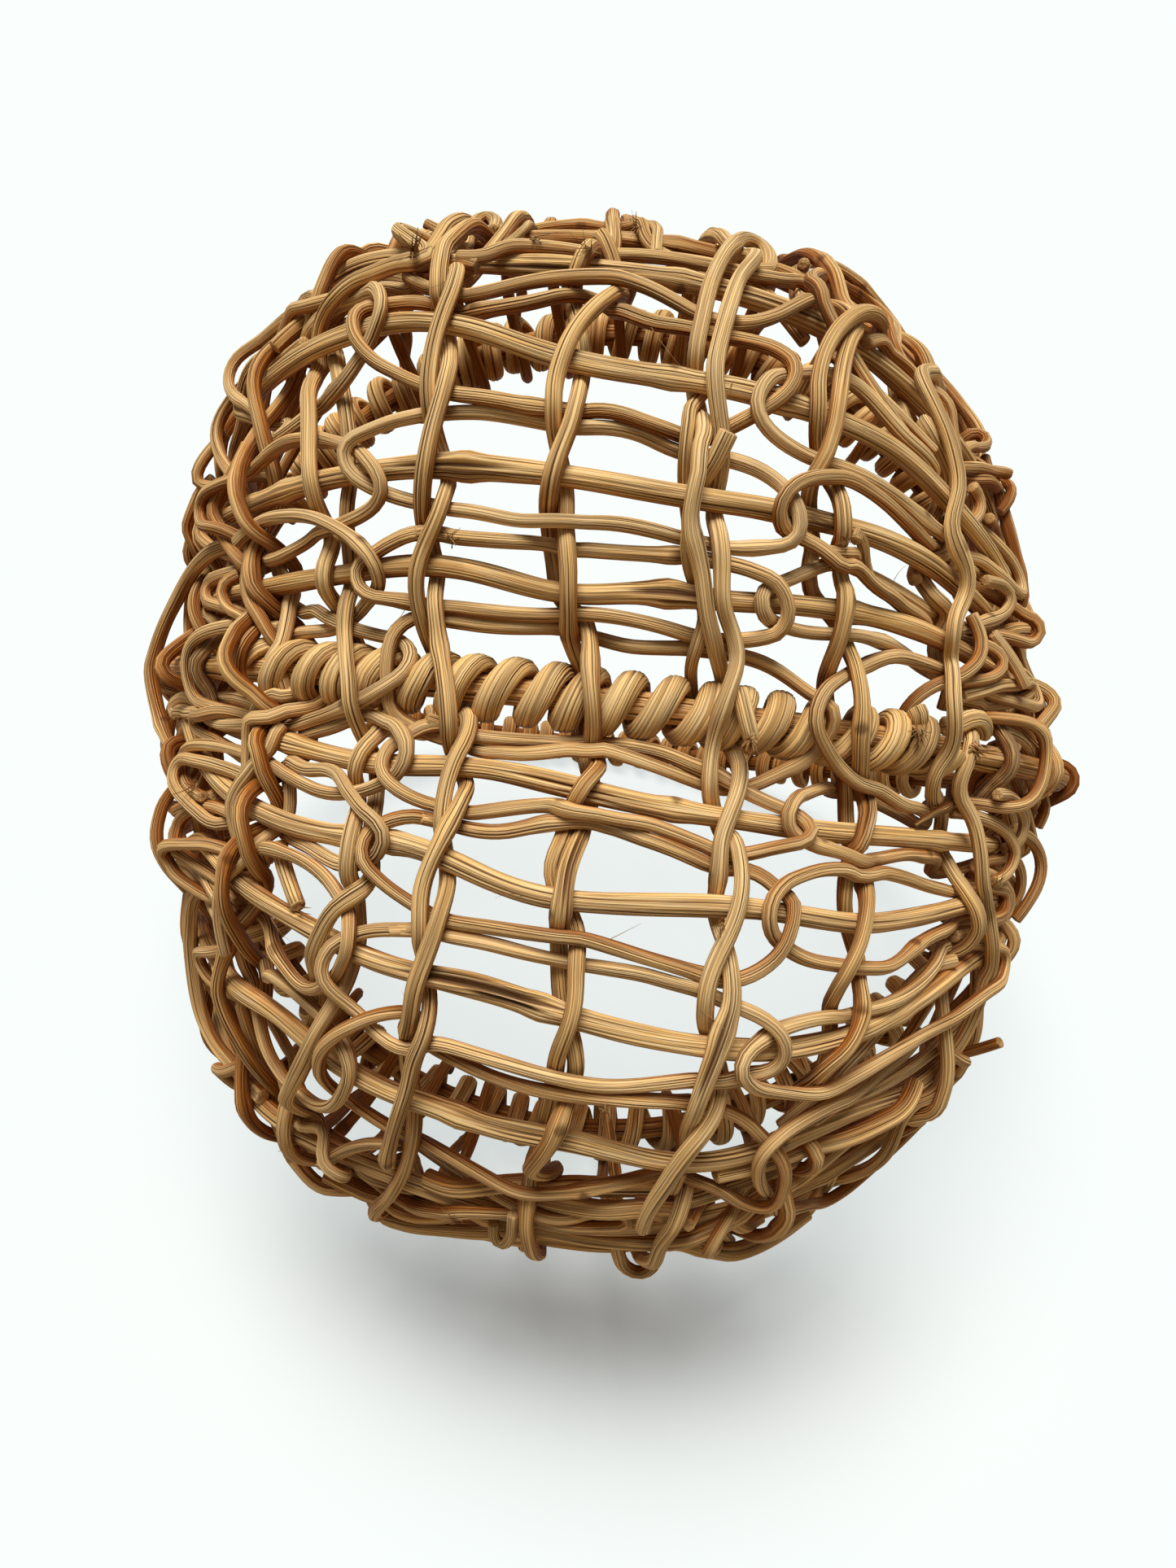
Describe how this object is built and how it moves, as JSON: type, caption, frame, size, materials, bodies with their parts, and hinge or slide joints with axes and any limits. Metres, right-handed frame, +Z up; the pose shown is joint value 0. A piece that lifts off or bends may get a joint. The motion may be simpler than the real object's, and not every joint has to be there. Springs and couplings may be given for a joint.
{
  "type": "buttocks basket",
  "caption": "Openwork double-lobed gathering basket of whole vine with a round fixed handle hoop, lying on its rim and handle.",
  "frame": {"origin": "middle of the basket's footprint, on the surface it stands on", "axes": "+X from ear to ear, +Z up, +Y from the bowl's low side towards the top of the handle"},
  "size_m": [0.416, 0.3858, 0.3748],
  "materials": {
    "hoop_wood": "bare, dry, lightly ridged",
    "wrap_vine": "bare, dry, lightly ridged",
    "rib_vine": "bare, dry, lightly ridged",
    "column_vine": "bare, dry, lightly ridged",
    "link_vine": "bare, dry, lightly ridged",
    "lashing_vine": "bare, dry, lightly ridged"
  },
  "bodies": {
    "root": {"column_1": "column_vine", "column_2": "column_vine", "column_3": "column_vine", "column_4": "column_vine", "column_5": "column_vine", "column_6": "column_vine", "column_7": "column_vine", "column_8": "column_vine", "column_9": "column_vine", "ear_lashing_left": "lashing_vine", "ear_lashing_right": "lashing_vine", "handle_hoop": "hoop_wood", "handle_wrap": "wrap_vine", "link_lower_1_left": "link_vine", "link_lower_1_middle": "link_vine", "link_lower_1_right": "link_vine", "link_lower_2_left": "link_vine", "link_lower_2_middle": "link_vine", "link_lower_2_right": "link_vine", "link_lower_3_left": "link_vine", "link_lower_3_middle": "link_vine", "link_lower_3_right": "link_vine", "link_lower_4_left": "link_vine", "link_lower_4_middle": "link_vine", "link_lower_4_right": "link_vine", "link_lower_5_left": "link_vine", "link_lower_5_middle": "link_vine", "link_lower_5_right": "link_vine", "link_spine_left": "link_vine", "link_spine_middle": "link_vine", "link_spine_right": "link_vine", "link_upper_1_left": "link_vine", "link_upper_1_middle": "link_vine", "link_upper_1_right": "link_vine", "link_upper_2_left": "link_vine", "link_upper_2_middle": "link_vine", "link_upper_2_right": "link_vine", "link_upper_3_left": "link_vine", "link_upper_3_middle": "link_vine", "link_upper_3_right": "link_vine", "link_upper_4_left": "link_vine", "link_upper_4_middle": "link_vine", "link_upper_4_right": "link_vine", "rib_lower_1": "rib_vine", "rib_lower_2": "rib_vine", "rib_lower_3": "rib_vine", "rib_lower_4": "rib_vine", "rib_lower_5": "rib_vine", "rib_lower_6": "rib_vine", "rib_upper_1": "rib_vine", "rib_upper_2": "rib_vine", "rib_upper_3": "rib_vine", "rib_upper_4": "rib_vine", "rib_upper_5": "rib_vine", "rib_upper_6": "rib_vine", "rim_hoop": "hoop_wood", "rim_wrap_lower": "wrap_vine", "rim_wrap_upper": "wrap_vine", "spine_wrap": "wrap_vine"}
  },
  "joints": []
}
